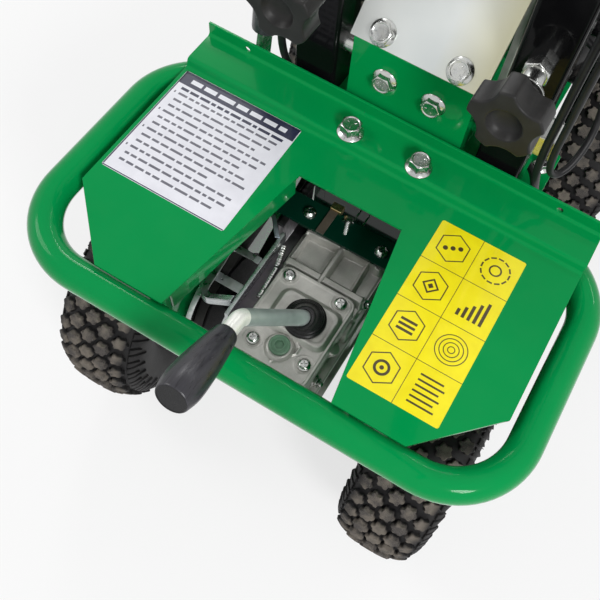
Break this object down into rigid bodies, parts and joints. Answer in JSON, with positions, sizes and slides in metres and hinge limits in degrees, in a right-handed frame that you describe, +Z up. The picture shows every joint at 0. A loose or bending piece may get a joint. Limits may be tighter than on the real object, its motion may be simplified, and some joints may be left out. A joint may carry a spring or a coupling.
{
  "type": "petrol turf cutter",
  "caption": "Walk-behind petrol turf cutter: green steel frame, chain-driven knobby wheels, belt-driven oscillating blade and a folded black handlebar.",
  "frame": {"origin": "centre of the bounding box at ground level", "axes": "+Z up, +Y forwards along the longest extent, +X to the machine's right"},
  "size_m": [0.514, 1.2, 0.9772],
  "materials": {
    "green_paint": "gloss powder coat",
    "black_paint": "satin black coat",
    "zinc": "zinc plated",
    "steel": "machined, oiled",
    "cast_aluminium": "sand cast",
    "black_plastic": "moulded",
    "grip_plastic": "moulded, slightly worn",
    "tyre_rubber": "matt, dusty",
    "belt_rubber": "matt",
    "rim_paint": "silver paint",
    "plug_paint": "moulded",
    "tank_paint": "gloss black"
  },
  "bodies": {
    "frame": {"side_plate_left": "green_paint", "side_plate_right": "green_paint", "engine_deck": "green_paint", "rear_cover": "green_paint", "rear_guard_tube": "green_paint", "tower_bracket": "green_paint", "guard_plate": "zinc", "handle_post_left": "black_paint", "handle_post_right": "black_paint", "handlebar": "black_paint", "grip_left": "black_plastic", "grip_right": "black_plastic", "gearbox_housing": "cast_aluminium", "gearbox_cover": "cast_aluminium", "filler_plug": "plug_paint", "shift_boot": "black_plastic", "gearbox_bracket": "green_paint", "belt_keeper": "zinc", "drive_belt": "belt_rubber", "blade_belt": "belt_rubber", "drive_chain": "steel", "engine_block": "cast_aluminium", "fan_housing": "black_paint", "recoil_cover": "black_plastic", "fuel_tank": "tank_paint", "air_filter": "black_plastic", "muffler": "steel", "belt_guard": "green_paint", "drive_cable": "black_plastic", "blade_cable": "black_plastic"},
    "drive_wheels": {"front_axle": "steel", "front_rim_left": "rim_paint", "front_rim_right": "rim_paint", "front_tyre_left": "tyre_rubber", "front_tyre_right": "tyre_rubber"},
    "chain_pinion": {"output_sprocket": "steel"},
    "gearbox_input": {"gearbox_pulley": "steel"},
    "engine_crank": {"engine_pulley": "steel"},
    "cam_shaft": {"cam_shaft": "steel"},
    "depth_carriage": {"depth_carriage": "black_paint", "depth_lever": "zinc", "depth_grip": "grip_plastic"},
    "rear_wheel_left": {"rear_rim_left": "rim_paint", "rear_tyre_left": "tyre_rubber"},
    "rear_wheel_right": {"rear_rim_right": "rim_paint", "rear_tyre_right": "tyre_rubber"},
    "blade": {"blade": "steel"},
    "con_rod_left": {"con_rod_left": "steel"},
    "con_rod_right": {"con_rod_right": "steel"},
    "drive_idler": {"drive_idler": "zinc"},
    "blade_idler": {"blade_idler": "zinc"},
    "drive_lever": {"drive_lever": "black_paint"},
    "blade_lever": {"blade_lever": "black_paint"},
    "throttle_lever": {"throttle_lever": "black_plastic"},
    "shift_lever": {"shift_lever": "zinc", "shift_grip": "grip_plastic"},
    "clamp_knob_left": {"clamp_knob_left": "grip_plastic"},
    "clamp_knob_right": {"clamp_knob_right": "grip_plastic"},
    "fuel_cap": {"fuel_cap": "black_plastic"},
    "starter_grip": {"starter_grip": "black_plastic"}
  },
  "joints": [
    {"name": "front_axle_spin", "type": "hinge", "parent": "frame", "child": "drive_wheels", "pos_m": [0, 0.39, 0.135], "axis": [1, 0, 0], "continuous": true},
    {"name": "pinion_spin", "type": "hinge", "parent": "frame", "child": "chain_pinion", "pos_m": [0.0875, 0.01, 0.19], "axis": [1, 0, 0], "continuous": true},
    {"name": "gearbox_input_spin", "type": "hinge", "parent": "frame", "child": "gearbox_input", "pos_m": [-0.084, -0.065, 0.19], "axis": [1, 0, 0], "continuous": true},
    {"name": "crank_spin", "type": "hinge", "parent": "frame", "child": "engine_crank", "pos_m": [-0.084, 0.36, 0.376], "axis": [1, 0, 0], "continuous": true},
    {"name": "cam_spin", "type": "hinge", "parent": "frame", "child": "cam_shaft", "pos_m": [0, 0.24, 0.225], "axis": [1, 0, 0], "continuous": true},
    {"name": "depth_swing", "type": "hinge", "parent": "frame", "child": "depth_carriage", "pos_m": [0, 0.092, 0.12], "axis": [-1, 0, 0], "range_deg": [0, 16.5]},
    {"name": "rear_wheel_left_spin", "type": "hinge", "parent": "depth_carriage", "child": "rear_wheel_left", "pos_m": [-0.17, -0.065, 0.135], "axis": [1, 0, 0], "continuous": true},
    {"name": "rear_wheel_right_spin", "type": "hinge", "parent": "depth_carriage", "child": "rear_wheel_right", "pos_m": [0.17, -0.065, 0.135], "axis": [1, 0, 0], "continuous": true},
    {"name": "blade_swing", "type": "hinge", "parent": "frame", "child": "blade", "pos_m": [0, 0.155, 0.243], "axis": [1, 0, 0], "range_deg": [-3.7, 3.7]},
    {"name": "rod_left_swing", "type": "hinge", "parent": "blade", "child": "con_rod_left", "pos_m": [-0.154, 0.155, 0.15], "axis": [1, 0, 0], "range_deg": [-3.7, 3.7]},
    {"name": "rod_right_swing", "type": "hinge", "parent": "blade", "child": "con_rod_right", "pos_m": [0.154, 0.155, 0.15], "axis": [1, 0, 0], "range_deg": [-3.7, 3.7]},
    {"name": "drive_lever_squeeze", "type": "hinge", "parent": "frame", "child": "drive_lever", "pos_m": [0.23, -0.432, 0.9533], "axis": [1, 0, 0], "range_deg": [0, 6], "stiffness_Nm_per_rad": 4, "springref_deg": -8.59},
    {"name": "blade_lever_squeeze", "type": "hinge", "parent": "frame", "child": "blade_lever", "pos_m": [-0.23, -0.432, 0.9533], "axis": [1, 0, 0], "range_deg": [0, 6], "stiffness_Nm_per_rad": 4, "springref_deg": -8.59},
    {"name": "drive_idler_swing", "type": "hinge", "parent": "frame", "child": "drive_idler", "pos_m": [-0.084, 0.27, 0.25], "axis": [1, 0, 0], "range_deg": [0, 6]},
    {"name": "blade_idler_swing", "type": "hinge", "parent": "frame", "child": "blade_idler", "pos_m": [-0.066, 0.385, 0.225], "axis": [1, 0, 0], "range_deg": [-6, 0]},
    {"name": "throttle_turn", "type": "hinge", "parent": "frame", "child": "throttle_lever", "pos_m": [0.2157, -0.375, 0.93595], "axis": [1, 0, 0], "range_deg": [-30, 30]},
    {"name": "shift_tilt", "type": "hinge", "parent": "frame", "child": "shift_lever", "pos_m": [0.015, -0.076, 0.265], "axis": [0, 1, 0], "range_deg": [-8, 8], "deforming": ["shift_boot"]},
    {"name": "knob_left_turn", "type": "hinge", "parent": "frame", "child": "clamp_knob_left", "pos_m": [-0.101, 0.0885, 0.479], "axis": [0, 1, 0], "range_deg": [0, 360]},
    {"name": "knob_right_turn", "type": "hinge", "parent": "frame", "child": "clamp_knob_right", "pos_m": [0.101, 0.0885, 0.479], "axis": [0, 1, 0], "range_deg": [0, 360]},
    {"name": "cap_turn", "type": "hinge", "parent": "frame", "child": "fuel_cap", "pos_m": [0.066, 0.35, 0.5709], "axis": [0, 0, 1], "range_deg": [0, 90]},
    {"name": "starter_pull", "type": "slide", "parent": "frame", "child": "starter_grip", "axis": [0, -0.8, 0.6], "range_m": [0, 0.6], "stiffness_N_per_m": 20, "springref_m": -0.3}
  ],
  "couplings": [
    {"joint": "pinion_spin", "follows": "front_axle_spin", "ratio": 2.3333},
    {"joint": "rod_left_swing", "follows": "blade_swing", "ratio": -1},
    {"joint": "rod_right_swing", "follows": "blade_swing", "ratio": -1},
    {"joint": "drive_idler_swing", "follows": "drive_lever_squeeze", "ratio": 1},
    {"joint": "blade_idler_swing", "follows": "blade_lever_squeeze", "ratio": -1}
  ]
}
